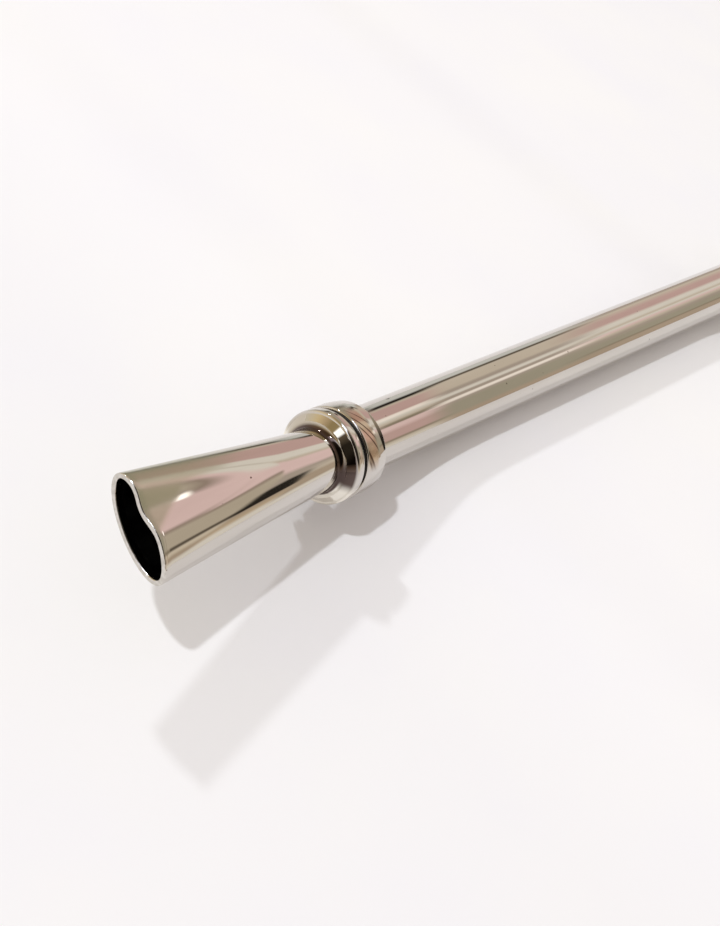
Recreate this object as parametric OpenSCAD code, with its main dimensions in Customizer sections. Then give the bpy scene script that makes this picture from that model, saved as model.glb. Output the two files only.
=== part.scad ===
// Bombilla: a screw-together metal drinking straw for mate.
// Millimetres. +X runs from the mouth to the filter, +Z is up, the part lies on z = 0.

/* [Stem] */
// Mouth rim to the end of the filter plate
total_l = 205; // [195:1:218]
// Outside diameter of the stem tube
stem_d = 8; // [7.8:0.1:8.4]
// Wall of every tube and pressed shell
wall = 0.6; // [0.5:0.05:0.7]

/* [Mouthpiece] */
// Mouth rim to the front edge of the collar
mouth_l = 29.7; // [28:0.1:33]
// Outside diameter of the neck that enters the collar
neck_d = 7.5; // [7.3:0.1:7.8]
// Half the width of the flattened mouth
mouth_half_w = 6.04; // [5.7:0.02:6.2]
// Half the thickness of the mouth beside the dent
mouth_half_t = 2.66; // [2.5:0.02:3]
// Depth of the dent on the thumb side
dent = 0.94; // [0.5:0.02:1]
// Deepest place of the dent, from mid width
dent_at = 1.54; // [0:0.02:2]
// Spread of the dent across the mouth
dent_spread = 2.02; // [1.8:0.02:2.4]
// Distance over which the dent fades out
dent_l = 20; // [16:0.5:24]
// Roll of the mouth about the stem, from upright
mouth_roll = 57; // [0:1:90]
// Shift of the mouth's centre along its width
mouth_shift = 0.4; // [0:0.02:0.6]

/* [Screw unions] */
// Outside diameter of the upper collar
collar_d = 11.3; // [11:0.1:12]
// Outside diameter of the lower collar
low_collar_d = 10.8; // [10.6:0.1:11]
// Length of the front ring's bead
bead_l = 1.45; // [1.2:0.05:2]
// Width of the groove that holds the seal
groove_w = 0.5; // [0.4:0.05:0.6]
// Depth of the groove left open outside the seal
groove_open = 0.2; // [0.15:0.05:0.3]
// Plain length of the collar band
band_l = 2.35; // [2.2:0.05:3]
// Length of the taper behind the band
taper_l = 1.4; // [1.2:0.05:1.8]
// Radius lost along the taper
taper_drop = 0.15; // [0.1:0.05:0.3]
// Metal left around the tube under the thread
thread_wall = 0.45; // [0.4:0.05:0.5]
// Engaged length of the thread
thread_l = 2.25; // [1.8:0.05:2.25]
// Radial running clearance of thread and seal
clear = 0.05; // [0.02:0.01:0.08]
// Rounding on the collar's edges
edge_r = 0.4; // [0.25:0.05:0.5]
// Radius of the fillet from neck to ring
fillet_r = 0.75; // [0.6:0.05:0.8]
// Length of the ring's sloping front face
face_l = 0.75; // [0.4:0.05:1]

/* [Filter] */
// Front edge of the lower ring to the end of the plate
filter_l = 42; // [40:0.5:46]
// Front edge of the lower ring to the bowl
neck_l = 14; // [12:0.5:16]
// End of the plate to the widest place of the bowl
nose_l = 16; // [14:0.5:18]
// Half the width of the filter bowl
bowl_half_w = 10; // [9:0.1:11]
// Height of the bowl where it is widest
bowl_h = 7.8; // [7:0.1:8.5]
// Thickness of the perforated plate
plate_t = 0.6; // [0.5:0.05:0.8]
// Seam lip of the plate outside the bowl
seam_lip = 0.4; // [0.3:0.05:0.6]
// Diameter of the strainer holes
hole_d = 1.2; // [1:0.05:1.3]
// Distance between strainer holes
hole_pitch = 2.3; // [2.2:0.05:2.6]
// First row of holes, from the start of the bowl
hole_start = 2; // [1.5:0.1:3]
// Metal left between a hole and the bowl's wall
hole_edge = 0.5; // [0.4:0.05:0.8]

/* [Hidden] */
$fn = 96;
stem_r = stem_d / 2;
stem_bore_r = stem_r - wall;
neck_r = neck_d / 2;
ring_r = collar_d / 2;
low_ring_r = low_collar_d / 2;
axis_z = ring_r;
thread_r = stem_r + thread_wall;
x_mouth = -total_l / 2;
x_up = x_mouth + mouth_l;
x_end = total_l / 2;
x_low = x_end - filter_l;
lip = 0.05;
ring_gap = 0.1;
web = 0.4;
stop_l = 0.5;
axial_gap = 0.02;
band_a = bead_l + groove_w;
nipple_a = band_a + thread_l;
tube_a = nipple_a - stop_l;
web_a = nipple_a + ring_gap;
socket_a = web_a + web;
taper_a = band_a + band_l;
rear_a = taper_a + taper_l;
flare_l = mouth_l - face_l - fillet_r;
ring_n = 40;
neck_n = 32;
flare_steps = 18;
neck_lead = 0.2;
neck_x = x_low + face_l + fillet_r + neck_lead;
bowl_x = x_low + neck_l;
wide_x = x_end - nose_l;
tip_x = x_end - seam_lip;
lap = 1.5;
cut_back = 0.5;
cut_under = 0.3;

// Turned pieces are drawn as radius against distance behind the ring's front edge.
module turned_up()
    translate([x_up, 0, axis_z]) rotate([0, 90, 0]) rotate_extrude() children();

module turned_low()
    translate([x_low, 0, axis_z]) mirror([1, 0, 0]) rotate([0, 90, 0]) rotate_extrude() children();

module ring_profile(out_r, tube_r) {
    difference() {
        translate([tube_r, -face_l - fillet_r]) square([fillet_r + lip, fillet_r]);
        translate([tube_r + lip + fillet_r, -face_l - fillet_r]) circle(fillet_r);
    }
    polygon([
        [tube_r, -face_l],
        [tube_r + lip + fillet_r, -face_l],
        [out_r - edge_r, 0],
        [out_r - edge_r, edge_r],
        [out_r, edge_r],
        [out_r, bead_l - edge_r],
        [out_r - edge_r, bead_l - edge_r],
        [out_r - edge_r, bead_l],
        [thread_r, bead_l],
        [thread_r, nipple_a],
        [tube_r - wall, nipple_a],
        [tube_r - wall, tube_a],
        [tube_r, tube_a]
    ]);
    translate([out_r - edge_r, edge_r]) circle(edge_r);
    translate([out_r - edge_r, bead_l - edge_r]) circle(edge_r);
}

module collar_profile(out_r) {
    polygon([
        [thread_r + clear, band_a],
        [out_r - edge_r / 2, band_a],
        [out_r - edge_r / 2, band_a + edge_r / 2],
        [out_r, band_a + edge_r / 2],
        [out_r, taper_a],
        [out_r - taper_drop, rear_a],
        [stem_r, rear_a],
        [stem_r, socket_a],
        [stem_bore_r, socket_a],
        [stem_bore_r, web_a],
        [thread_r + clear, web_a]
    ]);
    translate([out_r - edge_r / 2, band_a + edge_r / 2]) circle(edge_r / 2);
}

module seal_profile(out_r) {
    seal_t = groove_w - 2 * axial_gap;
    seal_in = thread_r + clear;
    seal_out = out_r - groove_open - edge_r / 2;
    intersection() {
        translate([seal_in, bead_l]) square([seal_out - seal_in, groove_w]);
        union() {
            translate([seal_in, bead_l + axial_gap])
                square([seal_out - seal_in - seal_t / 2, seal_t]);
            translate([seal_out - seal_t / 2, bead_l + groove_w / 2]) circle(seal_t / 2);
        }
    }
}

// Lofted tube: rings of points along X, outside first, then inside.
function strip(rows, n, base, turn) = [
    for (i = [0:rows - 2], j = [0:n - 1])
        let (a = base + i * n + j, b = base + i * n + (j + 1) % n, c = a + n, d = b + n)
        each (turn ? [[a, b, d], [a, d, c]] : [[a, d, b], [a, c, d]])
];
function rim(n, out, in, turn) = [
    for (j = [0:n - 1])
        let (a = out + j, b = out + (j + 1) % n, c = in + j, d = in + (j + 1) % n)
        each (turn ? [[a, d, b], [a, c, d]] : [[a, b, d], [a, d, c]])
];
module lofted_tube(outer, inner) {
    rows = len(outer);
    n = len(outer[0]);
    half = rows * n;
    points = [for (r = outer) each r, for (r = inner) each r];
    faces = concat(
        strip(rows, n, 0, false),
        strip(rows, n, half, true),
        rim(n, 0, half, false),
        rim(n, half - n, 2 * half - n, true)
    );
    polyhedron(points, faces, convexity = 6);
}

// Mouth section: an ellipse with a dent on its thumb side, easing into the round neck.
function ease(x) = x >= flare_l ? 0 : pow(1 - x / flare_l, 1.05);
function dent_fade(x) = x >= dent_l ? 0 : pow(1 - x / dent_l, 1.3);
function mouth_pt(x, f) =
    let (b = ease(x), half_w = neck_r + (mouth_half_w - neck_r) * b)
    let (half_t = neck_r + (mouth_half_t - neck_r) * b, k = half_w / mouth_half_w)
    let (p = half_w * cos(f), u = (p - dent_at * k) / (dent_spread * k))
    let (d = sin(f) > 0 ? dent * dent_fade(x) * exp(-u * u) * min(1, 2 * sin(f)) : 0)
    let (w = half_t * sin(f) - d, q = p + mouth_shift * b)
    [sin(mouth_roll) * q - cos(mouth_roll) * w, cos(mouth_roll) * q + sin(mouth_roll) * w];
function mouth_out(x) = [for (j = [0:ring_n - 1]) mouth_pt(x, 360 * j / ring_n)];
function inset(ring, t) = [
    for (j = [0:len(ring) - 1])
        let (n = len(ring), v = ring[(j + 1) % n] - ring[(j + n - 1) % n], s = norm(v))
        ring[j] + [v[1], -v[0]] * t / s
];
function place(ring, x, z) = [for (p = ring) [x, p[0], z + p[1]]];

// Filter sections: round at the ring, flat below and domed above at the bowl.
function smooth(u) = let (v = max(0, min(1, u))) v * v * (3 - 2 * v);
function plan(x) = x < wide_x
    ? stem_r + (bowl_half_w - stem_r) * smooth((x - neck_x) / (wide_x - neck_x))
    : bowl_half_w * sqrt(max(0, 1 - pow((x - wide_x) / (tip_x - wide_x), 2)));
function crown(x) = x < wide_x
    ? axis_z + stem_r + (bowl_h - axis_z - stem_r) * smooth((x - neck_x) / (wide_x - neck_x))
    : plate_t + (bowl_h - plate_t) * sqrt(max(0, 1 - pow((x - wide_x) / (tip_x - wide_x), 2)));
function flatten(x) = smooth((x - neck_x) / (bowl_x - lap - neck_x));
function arch(s) = s <= 0 ? 0 : pow(s, 0.75);
function neck_pt(x, f, t) =
    let (q = flatten(x), w = plan(x) - t, r = stem_r - t)
    let (low = plate_t + t, z = low + (crown(x) - t - low) * arch(sin(f)))
    [((1 - q) * r + q * w) * cos(f), (1 - q) * (axis_z + r * sin(f)) + q * z];
function neck_ring(x, t) = [for (j = [0:neck_n - 1]) neck_pt(x, -360 * j / neck_n, t)];

module bowl_solid(t, start, floor_z) {
    m = 24;
    steps = 18;
    span = tip_x - t - start;
    xs = [for (i = [0:steps - 1]) start + span * sin(90 * i / steps)];
    rows = [for (x = xs)
        let (g = x < wide_x ? 1 : sqrt(max(0, 1 - pow((x - wide_x) / (tip_x - t - wide_x), 2))))
        let (w = x < wide_x ? plan(x) - t : (bowl_half_w - t) * g)
        let (h = x < wide_x ? crown(x) - t : floor_z + (bowl_h - t - floor_z) * g)
        [for (j = [0:m]) let (f = 180 * j / m)
            [x, w * cos(f), floor_z + (h - floor_z) * arch(sin(f))]]];
    n = m + 1;
    tip = steps * n;
    faces = concat(
        [for (i = [0:steps - 2], j = [0:m - 1])
            let (a = i * n + j, b = a + 1, c = a + n, d = c + 1)
            each [[a, c, d], [a, d, b]]],
        [for (i = [0:steps - 2]) let (a = i * n, b = a + m, c = a + n, d = b + n)
            each [[a, b, d], [a, d, c]]],
        [for (j = [0:m - 1]) let (a = (steps - 1) * n + j) [a, tip, a + 1]],
        [[(steps - 1) * n, (steps - 1) * n + m, tip]],
        [[for (j = [0:m]) j]]
    );
    polyhedron([for (r = rows) each r, [tip_x - t, 0, floor_z]], faces, convexity = 4);
}

module mouthpiece() color([0.80, 0.77, 0.73]) {
    xs = concat([for (i = [0:flare_steps]) flare_l * i / flare_steps], [mouth_l + tube_a]);
    lofted_tube(
        [for (x = xs) place(mouth_out(x), x_mouth + x, axis_z)],
        [for (x = xs) place(inset(mouth_out(x), -wall), x_mouth + x, axis_z)]
    );
}

module mouth_ring() color([0.80, 0.77, 0.73])
    turned_up() ring_profile(ring_r, neck_r);

module mouth_seal() color([0.05, 0.05, 0.05])
    turned_up() seal_profile(ring_r);

module stem_collar() color([0.80, 0.77, 0.73])
    turned_up() collar_profile(ring_r);

module stem_tube() color([0.80, 0.77, 0.73])
    translate([x_up + socket_a, 0, axis_z]) rotate([0, 90, 0]) difference() {
        cylinder(r = stem_r, h = x_low - x_up - 2 * socket_a);
        translate([0, 0, -1]) cylinder(r = stem_bore_r, h = x_low - x_up - 2 * socket_a + 2);
    }

module filter_collar() color([0.80, 0.77, 0.73])
    turned_low() collar_profile(low_ring_r);

module filter_seal() color([0.05, 0.05, 0.05])
    turned_low() seal_profile(low_ring_r);

module filter_ring() color([0.80, 0.77, 0.73])
    turned_low() ring_profile(low_ring_r, stem_r);

module filter_neck() color([0.80, 0.77, 0.73]) {
    xs = concat([x_low - tube_a], [for (i = [0:10]) neck_x + (bowl_x - lap - neck_x) * i / 10],
        [bowl_x]);
    lofted_tube(
        [for (x = xs) [for (p = neck_ring(x, 0)) [x, p[0], p[1]]]],
        [for (x = xs) [for (p = neck_ring(x, wall)) [x, p[0], p[1]]]]
    );
}

module filter_bowl() color([0.80, 0.77, 0.73]) difference() {
    bowl_solid(0, bowl_x, plate_t);
    bowl_solid(wall, bowl_x - cut_back, plate_t - cut_under);
}

module filter_plate() color([0.78, 0.76, 0.73]) {
    steps = 28;
    start = bowl_x - lap;
    side = [for (i = [0:steps]) let (x = start + (tip_x - start) * sin(90 * i / steps))
        [x + seam_lip * smooth((x - wide_x) / (tip_x - wide_x)), plan(x) + seam_lip *
            (1 - smooth((x - wide_x) / (tip_x - wide_x)))]];
    reach = wall + hole_d / 2 + hole_edge;
    difference() {
        linear_extrude(plate_t) polygon(concat(side, [for (i = [steps - 1:-1:0]) [side[i][0], -side[i][1]]]));
        for (row = [-4:4], col = [0:14]) {
            hx = bowl_x + hole_start + (col + (abs(row) % 2) / 2) * hole_pitch;
            hy = row * hole_pitch * sqrt(3) / 2;
            if (hx < tip_x - reach && abs(hy) < plan(hx + reach * 0.4) - reach)
                translate([hx, hy, -1]) cylinder(d = hole_d, h = plate_t + 2, $fn = 24);
        }
    }
}

mouthpiece();
mouth_ring();
mouth_seal();
stem_collar();
stem_tube();
filter_collar();
filter_seal();
filter_ring();
filter_neck();
filter_bowl();
filter_plate();
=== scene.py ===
"""Looks of the bombilla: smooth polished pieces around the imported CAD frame, in metres.

+X runs from the mouth to the filter, +Z is up, and the part lies on z = 0.
"""
import math

import bmesh
import bpy
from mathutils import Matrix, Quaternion, Vector


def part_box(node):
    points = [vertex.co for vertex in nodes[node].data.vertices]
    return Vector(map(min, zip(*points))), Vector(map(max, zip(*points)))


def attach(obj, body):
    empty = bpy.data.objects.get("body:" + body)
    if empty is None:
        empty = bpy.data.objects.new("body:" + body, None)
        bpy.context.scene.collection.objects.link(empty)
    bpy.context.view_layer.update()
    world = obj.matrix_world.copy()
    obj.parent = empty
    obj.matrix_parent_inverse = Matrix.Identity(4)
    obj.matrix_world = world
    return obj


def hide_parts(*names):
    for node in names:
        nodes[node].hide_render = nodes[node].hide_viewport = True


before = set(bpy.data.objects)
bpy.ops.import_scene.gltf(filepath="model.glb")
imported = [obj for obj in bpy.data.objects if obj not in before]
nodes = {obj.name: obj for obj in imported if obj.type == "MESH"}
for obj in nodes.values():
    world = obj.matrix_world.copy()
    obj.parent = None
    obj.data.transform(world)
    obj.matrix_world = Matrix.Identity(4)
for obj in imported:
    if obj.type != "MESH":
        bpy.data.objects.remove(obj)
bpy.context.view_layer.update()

# Sizes in millimetres, the same as the part's source; places come from the frame.
MM = 0.001
STEM_R = 4.0
WALL = 0.6
NECK_R = 3.75
MOUTH_HALF_W, MOUTH_HALF_T = 6.04, 2.66
DENT, DENT_AT, DENT_SPREAD, DENT_L = 0.94, 1.54, 2.02, 20.0
FLARE_POWER, DENT_POWER, ARCH_POWER = 1.05, 1.3, 0.75
MOUTH_ROLL = math.radians(57)
MOUTH_SHIFT = 0.4
RING_R, LOW_RING_R = 5.65, 5.4
BEAD_L, GROOVE_W, GROOVE_OPEN = 1.45, 0.5, 0.2
BAND_L, TAPER_L, TAPER_DROP = 2.35, 1.4, 0.15
THREAD_R, THREAD_L, CLEAR = 4.45, 2.25, 0.05
THREAD_PITCH = 0.75
EDGE_R, FILLET_R, FACE_L, LIP = 0.4, 0.75, 0.75, 0.05
RING_GAP, WEB, STOP_L, AXIAL_GAP = 0.1, 0.4, 0.5, 0.02
BOWL_HALF_W, BOWL_H, PLATE_T = 10.0, 7.8, 0.6
NECK_L, NOSE_L, NECK_LEAD = 14.0, 16.0, 0.2
SEAM_LIP, LAP = 0.4, 1.5

BAND_A = BEAD_L + GROOVE_W
NIPPLE_A = BAND_A + THREAD_L
TUBE_A = NIPPLE_A - STOP_L
WEB_A = NIPPLE_A + RING_GAP
SOCKET_A = WEB_A + WEB
TAPER_A = BAND_A + BAND_L
REAR_A = TAPER_A + TAPER_L

X_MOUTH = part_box("mouthpiece")[0].x / MM
X_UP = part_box("mouth_ring")[1].x / MM - NIPPLE_A
X_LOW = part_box("filter_ring")[0].x / MM + NIPPLE_A
X_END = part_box("filter_plate")[1].x / MM
AXIS_Z = RING_R
FLARE_L = X_UP - X_MOUTH - FACE_L - FILLET_R
NECK_X = X_LOW + FACE_L + FILLET_R + NECK_LEAD
BOWL_X = X_LOW + NECK_L
WIDE_X = X_END - NOSE_L
TIP_X = X_END - SEAM_LIP

# Finish that the source leaves to this script, in millimetres.
THREAD_DEPTH, THREAD_FROM, THREAD_TO = 0.22, BEAD_L + 0.3, NIPPLE_A - 0.1
RIM_R, RIM_END, RIM_ANGLES = 0.14, 1.0, (0, 22, 45, 68, 90)
CORNER_SOFT, CORNER_DROP, REAR_LIFT, REAR_ANGLE = 0.05, 0.01, 0.02, 84
TIP_GAP = 0.01

# Steps of the meshes
AROUND = 160
FLARE_STEPS, BORE_STEPS, THREAD_STEPS, STEM_STEPS = 70, 40, 30, 60
NECK_STEPS, BOWL_STEPS, FINE_ARC = 36, 56, 10
SHARP = math.radians(35)
WELD = 1e-7


# Mesh helpers

def link(name, data):
    """New object in the scene."""
    piece = bpy.data.objects.new(name, data)
    bpy.context.scene.collection.objects.link(piece)
    return piece


def finish_mesh(name, bm):
    """Object from a bmesh, smooth apart from edges sharper than SHARP."""
    bmesh.ops.remove_doubles(bm, verts=bm.verts, dist=WELD)
    bmesh.ops.recalc_face_normals(bm, faces=bm.faces)
    for face in bm.faces:
        face.smooth = True
    for edge in bm.edges:
        edge.smooth = len(edge.link_faces) == 2 and edge.calc_face_angle() < SHARP
    mesh = bpy.data.meshes.new(name)
    bm.to_mesh(mesh)
    bm.free()
    return link(name, mesh)


def new_verts(bm, rings):
    """Vertices of a bmesh for rings of points in mm."""
    return [[bm.verts.new(Vector(p) * MM) for p in ring] for ring in rings]


def loop_of_rings(name, rings, inner_from=None, edge_from=None):
    """Closed surface through rings of points in mm, the last joined to the first.

    Faces from ring inner_from on take the second material slot, and those of an edge
    between ring edge_from and there the third.
    """
    bm = bmesh.new()
    verts = new_verts(bm, rings)
    count = len(rings[0])
    for i, ring in enumerate(verts):
        after = verts[(i + 1) % len(verts)]
        for j in range(count):
            k = (j + 1) % count
            face = bm.faces.new((ring[j], ring[k], after[k], after[j]))
            if inner_from is not None and i >= inner_from:
                face.material_index = 1
            elif edge_from is not None and i >= edge_from:
                face.material_index = 2
    return finish_mesh(name, bm)


def evenly(a, b, steps):
    """Numbers from a to b in equal steps, both ends included."""
    return [a + (b - a) * i / steps for i in range(steps + 1)]


def arc(centre, radius, start, end, steps=6):
    """Points of an arc, angles in degrees."""
    angles = [math.radians(angle) for angle in evenly(start, end, steps)]
    return [(centre[0] + radius * math.cos(t), centre[1] + radius * math.sin(t)) for t in angles]


def turned(name, profile, x0, way, bend=None):
    """Profile of (distance, radius) turned about the stem axis.

    Distances run from x0 along X, forwards or back by way. A bend changes each radius
    by its place and angle.
    """
    rings = []
    for distance, radius in profile:
        x = x0 + way * distance
        ring = []
        for j in range(AROUND):
            t = 2 * math.pi * j / AROUND
            r = radius if bend is None else bend(distance, radius, x, t)
            ring.append((x, r * math.cos(t), AXIS_Z + r * math.sin(t)))
        rings.append(ring)
    return loop_of_rings(name, rings)


# Mouthpiece

def mouth_section(x, t):
    """Section of the mouthpiece at x mm from the rim, inset by t, as (y, z) pairs."""
    b = 0 if x >= FLARE_L else (1 - x / FLARE_L) ** FLARE_POWER
    dented = 0 if x >= DENT_L else (1 - x / DENT_L) ** DENT_POWER
    half_w = NECK_R + (MOUTH_HALF_W - NECK_R) * b
    half_t = NECK_R + (MOUTH_HALF_T - NECK_R) * b
    k = half_w / MOUTH_HALF_W
    outer = []
    for j in range(AROUND):
        f = 2 * math.pi * j / AROUND
        p = half_w * math.cos(f)
        u = (p - DENT_AT * k) / (DENT_SPREAD * k)
        d = DENT * dented * math.exp(-u * u) * min(1, 2 * math.sin(f)) if math.sin(f) > 0 else 0
        w = half_t * math.sin(f) - d
        q = p + MOUTH_SHIFT * b
        outer.append((math.sin(MOUTH_ROLL) * q - math.cos(MOUTH_ROLL) * w,
                      math.cos(MOUTH_ROLL) * q + math.sin(MOUTH_ROLL) * w))
    section = []
    for j in range(AROUND):
        ahead, behind = outer[(j + 1) % AROUND], outer[j - 1]
        along = Vector((ahead[0] - behind[0], ahead[1] - behind[1])).normalized()
        section.append((outer[j][0] - along.y * t, outer[j][1] + along.x * t))
    return section


def mouthpiece():
    """Shell of the mouth: outside, rounded rim, then the bore back to the tube's end."""
    tube_end = X_UP - X_MOUTH + TUBE_A
    quarter = [math.radians(angle) for angle in RIM_ANGLES]
    stations = [(x, 0.0) for x in [tube_end] + evenly(FLARE_L, RIM_END, FLARE_STEPS)]
    edge_from = len(stations)
    stations += [(RIM_R * (1 - math.sin(t)), RIM_R * (1 - math.cos(t))) for t in quarter]
    stations += [(RIM_R * (1 - math.cos(t)), WALL - RIM_R * (1 - math.sin(t))) for t in quarter]
    inner_from = len(stations)
    stations += [(x, WALL) for x in evenly(RIM_END, FLARE_L, BORE_STEPS) + [tube_end]]
    rings = [[(X_MOUTH + x, y, AXIS_Z + z) for y, z in mouth_section(x, t)]
             for x, t in stations]
    return loop_of_rings("mouthpiece_shell", rings, inner_from, edge_from)


# Turned pieces of the two screw unions

def thread_bend(distance, radius, x, t):
    """Cuts the right-hand thread into the nipple of a ring."""
    if radius != THREAD_R or not THREAD_FROM < distance < THREAD_TO:
        return radius
    phase = (x / THREAD_PITCH - t / (2 * math.pi)) % 1
    return radius - THREAD_DEPTH * (1 - abs(2 * phase - 1))


def ring_profile(out_r, tube_r):
    """Filleted front face, rounded bead and threaded nipple."""
    fillet = arc((-FACE_L - FILLET_R, tube_r + LIP + FILLET_R), FILLET_R, -90, 0, FINE_ARC)
    front = arc((EDGE_R, out_r - EDGE_R), EDGE_R, 180, 90)
    back = arc((BEAD_L - EDGE_R, out_r - EDGE_R), EDGE_R, 90, 0)
    nipple = [(a, THREAD_R) for a in evenly(BEAD_L, NIPPLE_A, THREAD_STEPS)]
    bore = [(NIPPLE_A, tube_r - WALL), (TUBE_A, tube_r - WALL), (TUBE_A, tube_r),
            (-FACE_L - FILLET_R, tube_r)]
    return fillet + front + back + nipple + bore


def collar_profile(out_r):
    """Plain band with a rounded front edge and a shallow taper behind."""
    small = EDGE_R / 2
    rear_r = out_r - TAPER_DROP
    return ([(BAND_A, THREAD_R + CLEAR)]
            + arc((BAND_A + small, out_r - small), small, 180, 90)
            + [(TAPER_A - CORNER_SOFT, out_r), (TAPER_A + CORNER_SOFT, out_r - CORNER_DROP)]
            + arc((REAR_A - small, rear_r - small + REAR_LIFT), small, REAR_ANGLE, 0)
            + [(REAR_A, STEM_R), (SOCKET_A, STEM_R), (SOCKET_A, STEM_R - WALL),
               (WEB_A, STEM_R - WALL), (WEB_A, THREAD_R + CLEAR)])


def seal_profile(out_r):
    """Flat seal with a round outer edge, in the middle of the groove."""
    half = GROOVE_W / 2 - AXIAL_GAP
    middle = BEAD_L + GROOVE_W / 2
    seal_out = out_r - GROOVE_OPEN - EDGE_R / 2
    return ([(middle - half, THREAD_R + CLEAR)]
            + arc((middle, seal_out - half), half, 180, 0, FINE_ARC)
            + [(middle + half, THREAD_R + CLEAR)])


def stem_profile():
    """Straight tube between the webs of the two collars."""
    length = X_LOW - X_UP - 2 * SOCKET_A
    xs = evenly(0, length, STEM_STEPS)
    return [(a, STEM_R) for a in xs] + [(a, STEM_R - WALL) for a in reversed(xs)]


# Spoon filter

def smooth(u):
    """Soft step from 0 at u = 0 to 1 at u = 1."""
    v = max(0.0, min(1.0, u))
    return v * v * (3 - 2 * v)


def widening(x):
    """Part of the way from the round tube to the bowl's widest place."""
    return smooth((x - NECK_X) / (WIDE_X - NECK_X))


def round_end(x, t=0.0):
    """Height of the elliptic nose at x, as a part of its full height."""
    return math.sqrt(max(0.0, 1 - ((x - WIDE_X) / (TIP_X - t - WIDE_X)) ** 2))


def plan(x, t=0.0):
    """Half width of the filter at x, inset by t."""
    if x < WIDE_X:
        return STEM_R - t + (BOWL_HALF_W - STEM_R) * widening(x)
    return (BOWL_HALF_W - t) * round_end(x, t)


def crown(x, t=0.0):
    """Height of the filter's back at x, inset by t."""
    top = AXIS_Z + STEM_R
    if x < WIDE_X:
        return top - t + (BOWL_H - top) * widening(x)
    return PLATE_T + (BOWL_H - t - PLATE_T) * round_end(x, t)


def arch(s):
    """Full arch of the bowl's section, from the sine of the angle."""
    return max(0.0, s) ** ARCH_POWER


def neck_ring(x, t):
    """Section of the neck at x, inset by t: round at the ring, flat below at the bowl."""
    q = smooth((x - NECK_X) / (BOWL_X - LAP - NECK_X))
    low, r = PLATE_T + t, STEM_R - t
    ring = []
    for j in range(AROUND):
        f = -2 * math.pi * j / AROUND
        z = low + (crown(x, t) - low) * arch(math.sin(f))
        ring.append((x, ((1 - q) * r + q * plan(x, t)) * math.cos(f),
                     (1 - q) * (AXIS_Z + r * math.sin(f)) + q * z))
    return ring


def filter_neck():
    """Shell of the neck, from the ring's tube seat to the bowl."""
    xs = [X_LOW - TUBE_A] + evenly(NECK_X, BOWL_X, NECK_STEPS)
    rings = [neck_ring(x, 0) for x in xs] + [neck_ring(x, WALL) for x in reversed(xs)]
    return loop_of_rings("filter_neck_shell", rings, len(xs))


def bowl_arch(x, t, half):
    """Points of the bowl's arch at x, inset by t, from one side to the other."""
    angles = [math.pi * j / half for j in range(half + 1)]
    return [(x, plan(x, t) * math.cos(f), PLATE_T + (crown(x, t) - PLATE_T) * arch(math.sin(f)))
            for f in angles]


def filter_bowl():
    """Domed shell over the strainer plate, open below and towards the neck."""
    half = AROUND // 2
    rings = []
    for t in (0.0, WALL):
        length = TIP_X - t - TIP_GAP - BOWL_X
        arches = [bowl_arch(BOWL_X + length * math.sin(math.pi / 2 * i / BOWL_STEPS), t, half)
                  for i in range(BOWL_STEPS + 1)]
        rings += arches if t == 0 else arches[::-1]
    bm = bmesh.new()
    verts = new_verts(bm, rings)
    for i, ring in enumerate(verts):
        after = verts[(i + 1) % len(verts)]
        for j in range(half):
            face = bm.faces.new((ring[j], ring[j + 1], after[j + 1], after[j]))
            face.material_index = int(i > BOWL_STEPS)
    for side in (0, half):
        for i in range(BOWL_STEPS):
            bm.faces.new((verts[i][side], verts[i + 1][side],
                          verts[-2 - i][side], verts[-1 - i][side]))
    return finish_mesh("filter_bowl_shell", bm)


# Material helpers: colour sockets of a Mix node, and the range of most of a noise's values
MIX_LOW, MIX_HIGH, MIX_RESULT = 6, 7, 2
NOISE_LOW, NOISE_HIGH = 0.3, 0.7


def new_material(name):
    """Material with its node tree and shader."""
    material = bpy.data.materials.new(name)
    material.use_nodes = True
    tree = material.node_tree
    return material, tree, tree.nodes["Principled BSDF"]


def put(tree, node, inputs):
    """Sets inputs of a node, each to a value or from another node's output."""
    for key, value in inputs.items():
        if isinstance(value, bpy.types.NodeSocket):
            tree.links.new(value, node.inputs[key])
        else:
            node.inputs[key].default_value = value


def add(tree, kind, inputs=None, **settings):
    """New node with its settings and inputs."""
    node = tree.nodes.new(kind)
    for key, value in settings.items():
        setattr(node, key, value)
    put(tree, node, inputs or {})
    return node


def calc(tree, operation, *values):
    """Result of a math node."""
    return add(tree, "ShaderNodeMath", dict(enumerate(values)), operation=operation).outputs[0]


def distance_from(tree, place, centre):
    """Distance of a place from a fixed point."""
    return add(tree, "ShaderNodeVectorMath", {0: place, 1: centre},
               operation="DISTANCE").outputs["Value"]


def spread(tree, value, start, end, low=0.0, high=1.0):
    """Straight line from low at start to high at end, and level outside."""
    return add(tree, "ShaderNodeMapRange", {
        "Value": value, "From Min": start, "From Max": end,
        "To Min": low, "To Max": high}).outputs["Result"]


def fade(tree, value, start, end):
    """Soft step from 0 at start to 1 at end."""
    return add(tree, "ShaderNodeMapRange", {
        "Value": value, "From Min": start, "From Max": end},
        interpolation_type="SMOOTHSTEP").outputs["Result"]


def place_in(tree, space="Object"):
    """Place of a shaded point, and its parts along the axes."""
    place = add(tree, "ShaderNodeTexCoord").outputs[space]
    return place, add(tree, "ShaderNodeSeparateXYZ", {"Vector": place}).outputs


def angle_about_stem(tree, y, rise):
    """Angle about the stem axis: 0 straight up, and positive towards -Y."""
    return calc(tree, "ARCTAN2", calc(tree, "MULTIPLY", y, -1.0), rise)


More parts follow.
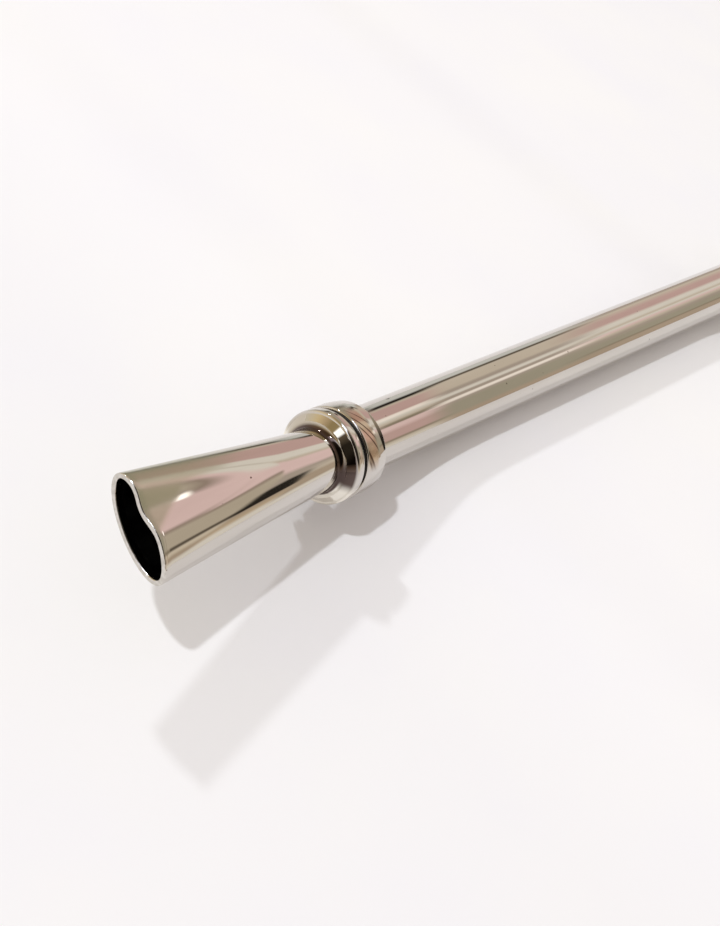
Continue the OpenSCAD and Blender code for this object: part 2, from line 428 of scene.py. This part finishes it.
def stretched_noise(tree, stretch, detail):
    """Noise in object space, drawn out by a factor on each axis."""
    place = add(tree, "ShaderNodeTexCoord").outputs["Object"]
    mapped = add(tree, "ShaderNodeMapping", {"Vector": place, "Scale": stretch})
    return add(tree, "ShaderNodeTexNoise", {
        "Vector": mapped.outputs["Vector"], "Scale": 1.0, "Detail": detail}).outputs["Fac"]


def bumps(tree, height, strength, distance):
    """Normal of small bumps, their distance in metres."""
    return add(tree, "ShaderNodeBump", {
        "Height": height, "Strength": strength, "Distance": distance}).outputs["Normal"]


def ramp(tree, factor, stops):
    """Colour from stops of (factor, colour)."""
    node = add(tree, "ShaderNodeValToRGB", {"Fac": factor})
    elements = node.color_ramp.elements
    while len(elements) < len(stops):
        elements.new(0.5)
    for element, (place, colour) in zip(elements, stops):
        element.position = place
        element.color = (*colour, 1)
    return node.outputs["Color"]


def mixed(tree, part, low, high):
    """Colour that goes from low to high with part."""
    mix = add(tree, "ShaderNodeMix", {"Factor": part}, data_type="RGBA")
    colours = {MIX_LOW: low, MIX_HIGH: high}
    put(tree, mix, {socket: (*colour, 1) if isinstance(colour, tuple) else colour
                    for socket, colour in colours.items()})
    return mix.outputs[MIX_RESULT]


# Materials: tones of the metal, painted shade and painted reflections laid on them, and where in
# a noise the pits begin and are full
NONE, FULL = (0, 0, 0), (1, 1, 1)
CLEAN, PAINTED_GOLD_REFLECTION, PAINTED_CORNER_SHADE = (0.61, 0.575, 0.53), (0.55, 0.49, 0.39), (0.10, 0.07, 0.06)
PAINTED_DARK_REFLECTION, PAINTED_DARK_REFLECTION_EDGE, PAINTED_PALE_REFLECTION = (0.07, 0.05, 0.045), (0.11, 0.08, 0.07), (0.95, 0.91, 0.81)
PAINTED_OLIVE, PIT, PIT_FROM, PIT_FULL = (0.52, 0.50, 0.41), (0.16, 0.12, 0.10), 0.86, 0.89
PAINTED_PEACH_REFLECTION, MARK = (0.53, 0.42, 0.32), (0.10, 0.06, 0.04)

# Painted olive reflection of the mouth, on a rougher patch: where it starts and where it is full,
# in mm from the rim, in y on the upper lobe, and in mm from the rim in the dent, where it leans
# with y.
OLIVE_RIM, OLIVE_LOBE, OLIVE_DENT = (21, 5), (0.9, 1.9), (4.4, 2.4)
OLIVE_LEAN, OLIVE_ROUGH = 1.8, 0.2

# Ring's face: painted dark reflection on its near side by y, painted pale reflection below by z,
# both in mm from the axis.
DARK_REFLECTION_Y, PALE_REFLECTION_Z = (-2.8, -4.0), (0.5, -1.0)

# Collar's band: dark lines that slant by radians per mm, and the painted peach reflection's fades
# in mm from the band's edges and its first and last angles about the stem.
MARK_SLANT, MARK_SCALE = 0.33, 1.7
TINT_FRONT, TINT_REAR = (0.1, 0.4), (-0.1, -0.6)
TINT_FIRST, TINT_LAST = (-0.4, 0.05), (1.3, 1.0)


def polished_steel(name, olive_rim_at=None):
    """Warm mirror finish with long drawing waves and small pits.

    With the x of a rim given, it has a painted olive reflection by that rim, on the upper lobe
    and in the dent, where the polish is also rougher.
    """
    material, tree, shader = new_material(name)
    haze = stretched_noise(tree, (60, 400, 400), 4)
    clean = ramp(tree, haze, [(NOISE_LOW, (0.585, 0.55, 0.505)),
                              (NOISE_HIGH, (0.635, 0.60, 0.555))])
    pitted = spread(tree, stretched_noise(tree, (1500, 1900, 1900), 0), PIT_FROM, PIT_FULL)
    tone = mixed(tree, pitted, clean, PIT)
    rough = spread(tree, haze, NOISE_LOW, NOISE_HIGH, 0.02, 0.05)
    if olive_rim_at is not None:
        split = place_in(tree)[1]
        near_rim = fade(tree, split["X"], *[(olive_rim_at + d) * MM for d in OLIVE_RIM])
        on_lobe = fade(tree, split["Y"], *[y * MM for y in OLIVE_LOBE])
        leaning = calc(tree, "MULTIPLY_ADD", split["Y"], -OLIVE_LEAN, split["X"])
        in_dent = fade(tree, leaning, *[(olive_rim_at + d) * MM for d in OLIVE_DENT])
        olive_patch = calc(tree, "MAXIMUM", calc(tree, "MULTIPLY", near_rim, on_lobe), in_dent)
        # painted olive reflection by the rim, over a rougher polish
        tone = mixed(tree, olive_patch, tone, PAINTED_OLIVE)
        rough = calc(tree, "MULTIPLY_ADD", olive_patch, OLIVE_ROUGH, rough)
    waves = bumps(tree, stretched_noise(tree, (18, 260, 260), 1), 0.06, 0.0004)
    put(tree, shader, {"Base Color": tone, "Roughness": rough, "Normal": waves, "Metallic": 1.0})
    return material


def ring_steel(name, tube_r, out_r):
    """Polished ring: painted shade in the corner by its tube, a painted golden reflection on the
    face, clean on the bead.

    The face has a painted dark reflection on its near side and a painted pale reflection below.
    """
    material, tree, shader = new_material(name)
    place, split = place_in(tree)
    across = add(tree, "ShaderNodeVectorMath", {0: place, 1: (0, 1, 1)}, operation="MULTIPLY")
    radius = distance_from(tree, across.outputs[0], (0, 0, AXIS_Z * MM))
    part = spread(tree, radius, (tube_r + LIP) * MM, out_r * MM)
    # painted shade in the corner by the tube, then a painted golden reflection on the face
    painted_light_tint = ramp(tree, part, [
        (0.0, PAINTED_CORNER_SHADE), (0.15, PAINTED_CORNER_SHADE), (0.35, PAINTED_GOLD_REFLECTION), (0.75, PAINTED_GOLD_REFLECTION), (0.95, CLEAN)])
    # painted dark reflection on the near side of the face
    dark_reflection = ramp(tree, part, [(0.0, PAINTED_DARK_REFLECTION), (0.8, PAINTED_DARK_REFLECTION_EDGE), (0.95, CLEAN)])
    # painted pale reflection on the lower face, with the painted corner shade by the tube
    pale_reflection = ramp(tree, part, [(0.0, PAINTED_CORNER_SHADE), (0.12, PAINTED_CORNER_SHADE), (0.2, PAINTED_PALE_REFLECTION)])
    beside = fade(tree, split["Y"], *[y * MM for y in DARK_REFLECTION_Y])
    under = fade(tree, split["Z"], *[(AXIS_Z + z) * MM for z in PALE_REFLECTION_Z])
    tone = mixed(tree, under, mixed(tree, beside, painted_light_tint, dark_reflection), pale_reflection)
    put(tree, shader, {"Base Color": tone, "Roughness": 0.04, "Metallic": 1.0})
    return material


def collar_steel(name, x0):
    """Collar with dark slanting lines over a painted peach reflection.

    Both lie on the near side of the band, and the whole band is less sharply polished.
    """
    material, tree, shader = new_material(name)
    split = place_in(tree)[1]
    angle = angle_about_stem(tree, split["Y"], calc(tree, "SUBTRACT", split["Z"], AXIS_Z * MM))
    helix = calc(tree, "MULTIPLY_ADD", split["X"], -MARK_SLANT / MM, angle)
    marks = add(tree, "ShaderNodeTexNoise", {"W": helix, "Scale": MARK_SCALE, "Detail": 0.0},
                noise_dimensions="1D").outputs["Fac"]
    lines = ramp(tree, marks, [(0.44, NONE), (0.48, FULL), (0.52, FULL), (0.56, NONE)])
    front = fade(tree, split["X"], *[(x0 + BAND_A + d) * MM for d in TINT_FRONT])
    rear = fade(tree, split["X"], *[(x0 + TAPER_A + d) * MM for d in TINT_REAR])
    on_band = calc(tree, "MULTIPLY", front, rear)
    around = calc(tree, "MULTIPLY", fade(tree, angle, *TINT_FIRST), fade(tree, angle, *TINT_LAST))
    painted_light_tint = calc(tree, "MULTIPLY", on_band, around)
    # painted peach reflection on the near side of the band, crossed by dark slanting lines
    tone = mixed(tree, painted_light_tint, CLEAN, PAINTED_PEACH_REFLECTION)
    tone = mixed(tree, calc(tree, "MULTIPLY", painted_light_tint, lines), tone, MARK)
    rough = calc(tree, "MULTIPLY_ADD", on_band, 0.14, 0.03)
    put(tree, shader, {"Base Color": tone, "Roughness": rough, "Metallic": 1.0})
    return material


def cut_edge():
    """Cut rim of the mouth, filed smooth but not polished."""
    material, tree, shader = new_material("cut_edge")
    file_marks = stretched_noise(tree, (2600, 2600, 2600), 2)
    tone = ramp(tree, file_marks, [(0.35, (0.56, 0.53, 0.48)), (0.65, (0.70, 0.67, 0.62))])
    filed = bumps(tree, file_marks, 0.35, 0.00008)
    put(tree, shader, {"Base Color": tone, "Roughness": 0.14, "Normal": filed, "Metallic": 1.0})
    return material


def dark_bore():
    """Unpolished inside of a tube, with a near-black base colour as painted shade."""
    material, tree, shader = new_material("dark_bore")
    bore_mottle = stretched_noise(tree, (300, 500, 500), 5)
    # near-black tones: painted shade inside the tubes and under the bowl
    tone = ramp(tree, bore_mottle, [(0.35, (0.012, 0.011, 0.010)), (0.75, (0.05, 0.045, 0.04))])
    rough = spread(tree, bore_mottle, NOISE_LOW, NOISE_HIGH, 0.3, 0.5)
    put(tree, shader, {"Base Color": tone, "Roughness": rough, "Metallic": 1.0})
    return material


def strainer_steel():
    """Satin sheet of the strainer plate, with faint rolling lines."""
    material, tree, shader = new_material("strainer_steel")
    lines = stretched_noise(tree, (80, 2500, 2500), 3)
    tone = ramp(tree, lines, [(NOISE_LOW, (0.58, 0.55, 0.50)), (NOISE_HIGH, (0.68, 0.65, 0.60))])
    rough = spread(tree, lines, NOISE_LOW, NOISE_HIGH, 0.2, 0.32)
    rolled = bumps(tree, lines, 0.15, 0.00005)
    put(tree, shader, {"Base Color": tone, "Roughness": rough, "Normal": rolled, "Metallic": 1.0})
    return material


def seal_rubber():
    """Dull black rubber with a fine grain."""
    material, tree, shader = new_material("seal_rubber")
    grain = stretched_noise(tree, (3000, 3000, 3000), 3)
    tone = ramp(tree, grain, [(NOISE_LOW, (0.010, 0.010, 0.010)),
                              (NOISE_HIGH, (0.025, 0.024, 0.023))])
    grainy = bumps(tree, grain, 0.3, 0.00003)
    put(tree, shader, {"Base Color": tone, "Roughness": 0.55, "Normal": grainy})
    return material


STEEL, BORE, EDGE = polished_steel("polished_steel"), dark_bore(), cut_edge()
MOUTH_STEEL = polished_steel("mouth_steel", X_MOUTH)
STRAINER, RUBBER = strainer_steel(), seal_rubber()


def dress(piece, node, body, slot, *materials):
    """Gives a new piece its materials and puts it in a CAD node's place."""
    for material in materials:
        piece.data.materials.append(material)
    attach(piece, body)
    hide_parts(node)


dress(mouthpiece(), "mouthpiece", "mouth", "polished_steel", MOUTH_STEEL, BORE, EDGE)
dress(turned("mouth_ring_turned", ring_profile(RING_R, NECK_R), X_UP, 1, thread_bend),
      "mouth_ring", "mouth", "polished_steel",
      ring_steel("mouth_ring_steel", NECK_R, RING_R))
dress(turned("mouth_seal_ring", seal_profile(RING_R), X_UP, 1),
      "mouth_seal", "upper_seal", "seal_rubber", RUBBER)
dress(turned("stem_collar_turned", collar_profile(RING_R), X_UP, 1),
      "stem_collar", "stem", "polished_steel", collar_steel("collar_steel", X_UP))
dress(turned("stem_tube_drawn", stem_profile(), X_UP + SOCKET_A, 1),
      "stem_tube", "stem", "polished_steel", STEEL)
dress(turned("filter_collar_turned", collar_profile(LOW_RING_R), X_LOW, -1),
      "filter_collar", "stem", "polished_steel", STEEL)
dress(turned("filter_seal_ring", seal_profile(LOW_RING_R), X_LOW, -1),
      "filter_seal", "lower_seal", "seal_rubber", RUBBER)
dress(turned("filter_ring_turned", ring_profile(LOW_RING_R, STEM_R), X_LOW, -1, thread_bend),
      "filter_ring", "filter", "polished_steel",
      ring_steel("filter_ring_steel", STEM_R, LOW_RING_R))
dress(filter_neck(), "filter_neck", "filter", "polished_steel", STEEL, BORE)
dress(filter_bowl(), "filter_bowl", "filter", "polished_steel", STEEL, BORE)
plate = nodes["filter_plate"]
plate.data.materials.clear()
plate.data.materials.append(STRAINER)


# Stage: pale floor, room light and two small lamps
BACKDROP, PLAIN_LIGHT = (0.95, 0.925, 0.92), (0.625, 0.58, 0.55)
LAMP_COLOUR, LAMP_AWAY = (0.90, 0.945, 1.0), 3.0

# Paper in mm: it rises under the stem, bends at BEND_X towards the mouth, stops falling after
# FALL_L, and is down at z = 0 from LEVEL_GAP before the lower collar.
BEND_X, BEND_SLOPE, BEND_SOFT, SHEET_RISE = X_UP + 24, 0.22, 3.0, 1.62
EXP_LIMIT = 200
FALL_L, LEVEL_GAP, LEVEL_L, FLOOR_REACH = 400, 6, 26, 3000
BEND_ZONE, BEND_STEPS, FALL_STEPS, FLAT_STEPS = 29, 58, 20, 30
TONE_FROM, TONE_TO = BEND_X - 30, BEND_X + 20
FADE_FROM, FADE_TO = 350, 900

# How far the sets of bands lean with the angle about the stem, behind it
BAND_LEAN = 0.086


def paper_height(x):
    """Height of the paper at x, in mm."""
    past = BEND_SOFT * math.log1p(math.exp(min(EXP_LIMIT, (BEND_X - x) / BEND_SOFT)))
    carried = SHEET_RISE * smooth((X_LOW - LEVEL_GAP - x) / LEVEL_L)
    return carried - BEND_SLOPE * min(past, FALL_L)


def floor():
    """White paper that carries the stem, falls away at the mouth and lies flat at the filter."""
    outside = BEND_ZONE + 1
    columns = ([-FLOOR_REACH] + evenly(BEND_X - FALL_L, BEND_X - outside, FALL_STEPS)
               + evenly(BEND_X - BEND_ZONE, BEND_X + BEND_ZONE, BEND_STEPS)
               + evenly(BEND_X + outside, X_LOW, FLAT_STEPS) + [FLOOR_REACH])
    bm = bmesh.new()
    rows = new_verts(bm, [[(x, y, paper_height(x)) for y in (-FLOOR_REACH, FLOOR_REACH)]
                          for x in columns])
    for one, two in zip(rows, rows[1:]):
        bm.faces.new((one[0], two[0], two[1], one[1]))
    piece = finish_mesh("floor", bm)
    piece.data.materials.append(floor_paper())


def floor_paper():
    """Mottled white, a little greyer on the slope, that fades into the backdrop far away."""
    material, tree, shader = new_material("floor_paper")
    place, split = place_in(tree)
    mottle = stretched_noise(tree, (25, 25, 25), 3)
    sloping = ramp(tree, mottle, [(0.35, (0.89, 0.88, 0.895)), (0.65, (0.91, 0.90, 0.89))])
    flat = ramp(tree, mottle, [(0.35, (0.945, 0.935, 0.95)), (0.65, (0.965, 0.955, 0.945))])
    tone = mixed(tree, spread(tree, split["X"], TONE_FROM * MM, TONE_TO * MM), sloping, flat)
    put(tree, shader, {"Base Color": tone, "Roughness": 0.8, "Specular IOR Level": 0.2})
    reach = distance_from(tree, place, (X_UP * MM, 0, 0))
    seen = add(tree, "ShaderNodeLightPath").outputs["Is Camera Ray"]
    faded = calc(tree, "MULTIPLY", fade(tree, reach, FADE_FROM * MM, FADE_TO * MM), seen)
    plain = add(tree, "ShaderNodeEmission", {"Color": (*BACKDROP, 1)})
    both = add(tree, "ShaderNodeMixShader", {0: faded, 1: shader.outputs[0], 2: plain.outputs[0]})
    put(tree, tree.nodes["Material Output"], {"Surface": both.outputs[0]})
    material.cycles.emission_sampling = "NONE"
    return material


def room():
    """World: plain soft light, and in the polish long bands as walls and strip lights would give.

    A direction's angle about the stem axis picks its band, from the back horizon at -90
    to the near horizon at 90; how far it points along the stem picks the set of bands.
    """
    world = bpy.data.worlds.new("room")
    bpy.context.scene.world = world
    world.use_nodes = True
    tree = world.node_tree
    split = place_in(tree, "Generated")[1]
    angle = angle_about_stem(tree, split["Y"], split["Z"])
    turn = spread(tree, angle, -math.pi / 2, math.pi / 2)
    level = split["X"]
    leaning = calc(tree, "MULTIPLY_ADD", calc(tree, "MINIMUM", angle, 0.0), BAND_LEAN, level)

    def bands(*stops):
        return ramp(tree, turn, [((degrees + 90) / 180, colour) for degrees, colour in stops])

    pale, cream, bright = (0.74, 0.74, 0.70), (0.96, 0.91, 0.82), (1.22, 1.12, 1.02)
    pink, rose, stone = (0.72, 0.50, 0.46), (0.98, 0.74, 0.71), (0.75, 0.66, 0.54)
    dull, olive, tan = (0.54, 0.46, 0.39), (0.48, 0.44, 0.34), (0.56, 0.45, 0.34)
    gold, shade = (0.70, 0.56, 0.39), (0.36, 0.30, 0.22)
    dusk, black = (0.16, 0.13, 0.10), (0.03, 0.025, 0.02)
    amber, moss, umber = (0.95, 0.80, 0.53), (0.45, 0.36, 0.20), (0.42, 0.33, 0.27)
    khaki, honey, paper = (0.64, 0.56, 0.44), (0.82, 0.72, 0.57), (0.98, 0.95, 0.90)
    glare, flare = (2.2, 2.1, 2.0), (1.9, 2.05, 2.4)

    back_wall = [(-90, pale), (-82, pale), (-78, black), (-71, black), (-64, stone), (-55, pink),
                 (-15, pink), (-10, cream), (2, cream)]
    low_edge = [(69, honey), (71, honey), (76, tan), (79, tan), (86, cream), (90, cream)]
    beyond = bands((-90, stone), (-50, olive), (-5, shade), (25, dusk), (45, black), (90, black))
    far = bands((-90, dull), (-78, dull), (-70, stone), (-45, pink), (-26, pink), (-14, cream),
                (-3, cream), (6, stone), (12, cream), (20, rose), (28, stone), (37, dull),
                (50, olive), (62, olive), (67, shade), (72, tan), (90, tan))
    ahead = bands((-90, pale), (-72, pale), (-67, dusk), (-62, dusk), (-57, stone), (-22, stone),
                  (-13, dull), (-7, dull), (0, cream), (5, cream), (10, dull), (16, dull),
                  (20, bright), (25, bright), (30, dull), (40, olive), (70, olive), (80, tan),
                  (90, tan))
    near = bands((-90, pale), (-70, pale), (-63, black), (-57, black), (-51, stone), (-42, pink),
                 (-14, pink), (-9, bright), (-3, bright), (2, cream), (12, stone), (18, shade),
                 (22, shade), (26, rose), (34, rose), (46, pink), (66, pink), (72, shade),
                 (78, stone), (90, cream))
    neck = bands(*back_wall, (9, stone), (15, rose), (36, rose), (43, dull), (56, stone),
                 (64, tan), (78, tan), (84, cream), (90, cream))
    streak = bands(*back_wall, (8, stone), (13, rose), (34, rose), (42, dull), (50, dull),
                   (54, black), (67, black), (69, tan), (76, gold), (82, cream), (90, cream))
    middle = bands((-90, pale), (-82, pale), (-78, dusk), (-72, dusk), (-66, olive), (0, olive),
                   (7, cream), (12, cream), (18, rose), (26, rose), (30, umber), (36, khaki),
                   (61, khaki), (64, dusk), (66, dusk), *low_edge)
    low = bands((-90, olive), (-14, olive), (-5, rose), (18, rose), (27, umber), (36, khaki),
                (61, khaki), (64, shade), (66, shade), *low_edge)
    dent = bands((-90, olive), (-14, olive), (-5, rose), (16, rose), (21, glare), (28, glare),
                 (33, dull), (58, olive), (63, shade), (66, shade), (72, gold), (90, cream))
    over = bands((-90, pale), (-70, dull), (0, dull), (40, olive), (58, olive), (64, shade),
                 (70, tan), (90, cream))
    behind = bands((-90, paper), (-64, amber), (-48, gold), (-34, moss), (-18, moss),
                   (-13, flare), (-2, flare), (3, dusk), (25, black), (74, black), (82, tan),
                   (90, cream))

    sky = behind
    for colours, measure, start, end in (
            (over, level, -0.25, 0.25), (low, level, 0.49, 0.54), (dent, level, 0.543, 0.549),
            (low, level, 0.558, 0.568), (middle, level, 0.618, 0.632),
            (streak, leaning, 0.664, 0.676), (neck, leaning, 0.70, 0.706),
            (near, level, 0.778, 0.786), (ahead, level, 0.80, 0.815), (far, level, 0.85, 0.875),
            (beyond, level, 0.912, 0.918)):
        sky = mixed(tree, fade(tree, measure, start, end), sky, colours)
    path = add(tree, "ShaderNodeLightPath").outputs
    plain = mixed(tree, path["Is Camera Ray"], PLAIN_LIGHT, BACKDROP)
    seen = mixed(tree, path["Is Glossy Ray"], plain, sky)
    put(tree, tree.nodes["Background"], {"Color": seen})


def lamp(name, toward, watts, size):
    """Small round area lamp in a direction from the collar, aimed at it."""
    data = bpy.data.lights.new(name, "AREA")
    data.shape, data.size, data.energy = "DISK", size, watts
    data.color = LAMP_COLOUR
    piece = link(name, data)
    aim = Vector(toward).normalized()
    piece.location = Vector((X_UP, 0, AXIS_Z)) * MM + aim * LAMP_AWAY
    piece.rotation_mode = "QUATERNION"
    piece.rotation_quaternion = aim.to_track_quat("Z", "Y")


floor()
room()
lamp("high_lamp", toward=(-0.715, 0.255, 1.0), watts=32.6, size=0.125)
lamp("low_lamp", toward=(0.095, 1.046, 1.0), watts=20.8, size=0.18)


# Camera at the photograph's viewing angle: place in mm from the mouth, direction and roll
CAMERA_FROM_MOUTH = (-105.1, -57.46, 107.12)
CAMERA_LOOK, CAMERA_ROLL = (0.7712, 0.3021, -0.5603), math.radians(31.3)
SENSOR_H, FOCAL_PX, FRAME_H_PX = 24.0, 1555, 926


def camera():
    """Camera with the photograph's perspective."""
    data = bpy.data.cameras.new("camera")
    data.sensor_fit = "VERTICAL"
    data.sensor_height = SENSOR_H
    data.lens = SENSOR_H * FOCAL_PX / FRAME_H_PX
    piece = link("camera", data)
    piece.location = (Vector((X_MOUTH, 0, 0)) + Vector(CAMERA_FROM_MOUTH)) * MM
    roll = Quaternion((0, 0, 1), CAMERA_ROLL)
    piece.rotation_mode = "QUATERNION"
    piece.rotation_quaternion = Vector(CAMERA_LOOK).to_track_quat("-Z", "Y") @ roll
    bpy.context.scene.camera = piece


camera()
bpy.context.scene.view_settings.view_transform = "Standard"
